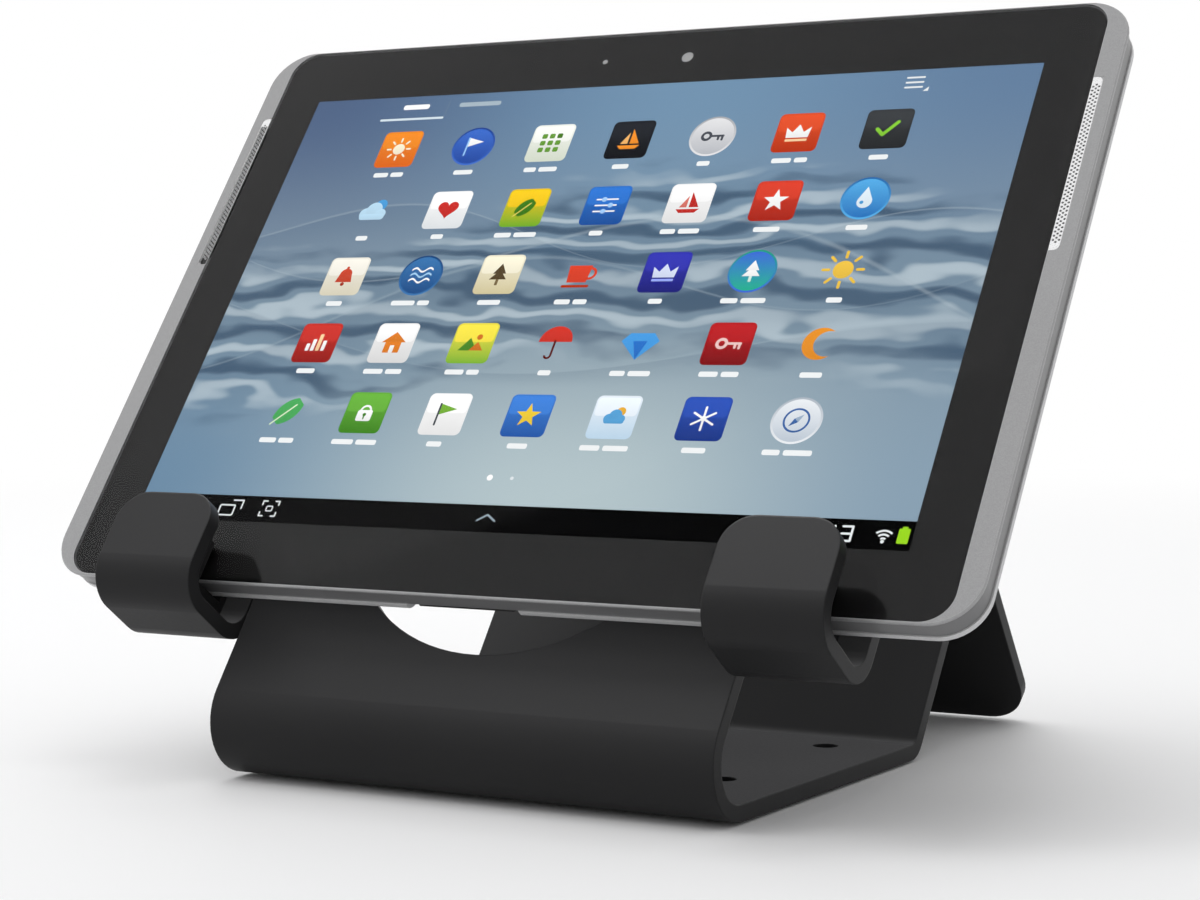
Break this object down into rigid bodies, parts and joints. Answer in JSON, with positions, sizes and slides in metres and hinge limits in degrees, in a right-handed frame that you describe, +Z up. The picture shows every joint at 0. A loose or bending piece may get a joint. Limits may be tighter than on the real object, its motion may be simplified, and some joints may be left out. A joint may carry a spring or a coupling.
{
  "type": "tablet security kiosk stand",
  "caption": "Easel bent from thick sheet whose hooks hold a tablet at a lean, with a bolt-down base, a rear leg and a cable lock anchor on the tablet's back.",
  "frame": {"origin": "centre of the bolt pattern, on the underside of the base", "axes": "+X along the tablet's width, +Y from the front wall towards the rear leg, +Z up"},
  "size_m": [0.2572, 0.2072, 0.1923],
  "materials": {
    "black_coat": "satin powder coat",
    "black_rubber": "matt",
    "grey_foam": "matt foam",
    "silver_plastic": "silver lacquer",
    "clear_glass": "polished",
    "dark_plastic": "satin",
    "pale_lip": "satin lacquer",
    "pale_mesh": "satin",
    "dark_metal": "anodised satin",
    "black_glass": "polished",
    "connector_black": "satin",
    "plain_steel": "brushed",
    "bright_steel": "machined",
    "bezel_ink": "printed",
    "screen_face": "lit screen",
    "magnesium": "cast matt",
    "cell_foil": "wrapped foil",
    "board_green": "solder mask",
    "shield_tin": "tinned",
    "speaker_black": "moulded",
    "flex_amber": "polyimide film"
  },
  "bodies": {
    "stand": {"stand_frame": "black_coat", "hook_bumper_left": "black_rubber", "hook_bumper_right": "black_rubber", "back_pads": "grey_foam", "base_feet": "black_rubber", "leg_bumper": "black_rubber"},
    "tablet": {"front_frame": "silver_plastic", "cover_glass": "clear_glass", "edge_band": "dark_plastic", "rear_shell": "pale_lip", "speaker_grille_left": "pale_mesh", "speaker_grille_right": "pale_mesh", "rear_camera_ring": "dark_metal", "rear_camera_glass": "black_glass", "dock_connector": "connector_black", "headphone_jack": "connector_black", "card_cover_pin": "bright_steel", "adhesive_pad": "grey_foam", "security_plate": "plain_steel", "lock_anchor": "plain_steel", "anchor_screws": "bright_steel", "bezel_mask": "bezel_ink", "display_panel": "screen_face", "chassis_plate": "magnesium", "chassis_screws": "bright_steel", "battery_pack": "cell_foil", "main_board": "board_green", "board_shields": "shield_tin", "card_socket": "shield_tin", "button_switches": "connector_black", "front_camera": "connector_black", "light_sensor": "connector_black", "rear_camera_module": "connector_black", "speaker_left": "speaker_black", "speaker_right": "speaker_black", "display_cable": "flex_amber", "vibration_motor": "shield_tin", "microphone": "shield_tin"},
    "power_button": {"power_button": "silver_plastic"},
    "volume_rocker": {"volume_rocker": "silver_plastic"},
    "card_cover": {"card_cover": "dark_plastic"}
  },
  "joints": [
    {"name": "tablet_lift", "type": "slide", "parent": "stand", "child": "tablet", "axis": [0, 0.5878, 0.809], "range_m": [0, 0.045]},
    {"name": "power_button_press", "type": "slide", "parent": "tablet", "child": "power_button", "axis": [0, -0.5878, -0.809], "range_m": [0, 0.0004], "stiffness_N_per_m": 1500},
    {"name": "volume_rock", "type": "hinge", "parent": "tablet", "child": "volume_rocker", "pos_m": [-0.074, 0.04076, 0.18604], "axis": [0, -0.809, 0.5878], "range_deg": [-1.5, 1.5], "stiffness_Nm_per_rad": 0.5},
    {"name": "card_cover_hinge", "type": "hinge", "parent": "tablet", "child": "card_cover", "pos_m": [-0.059, 0.04194, 0.18765], "axis": [0, -0.809, 0.5878], "range_deg": [0, 90]}
  ]
}
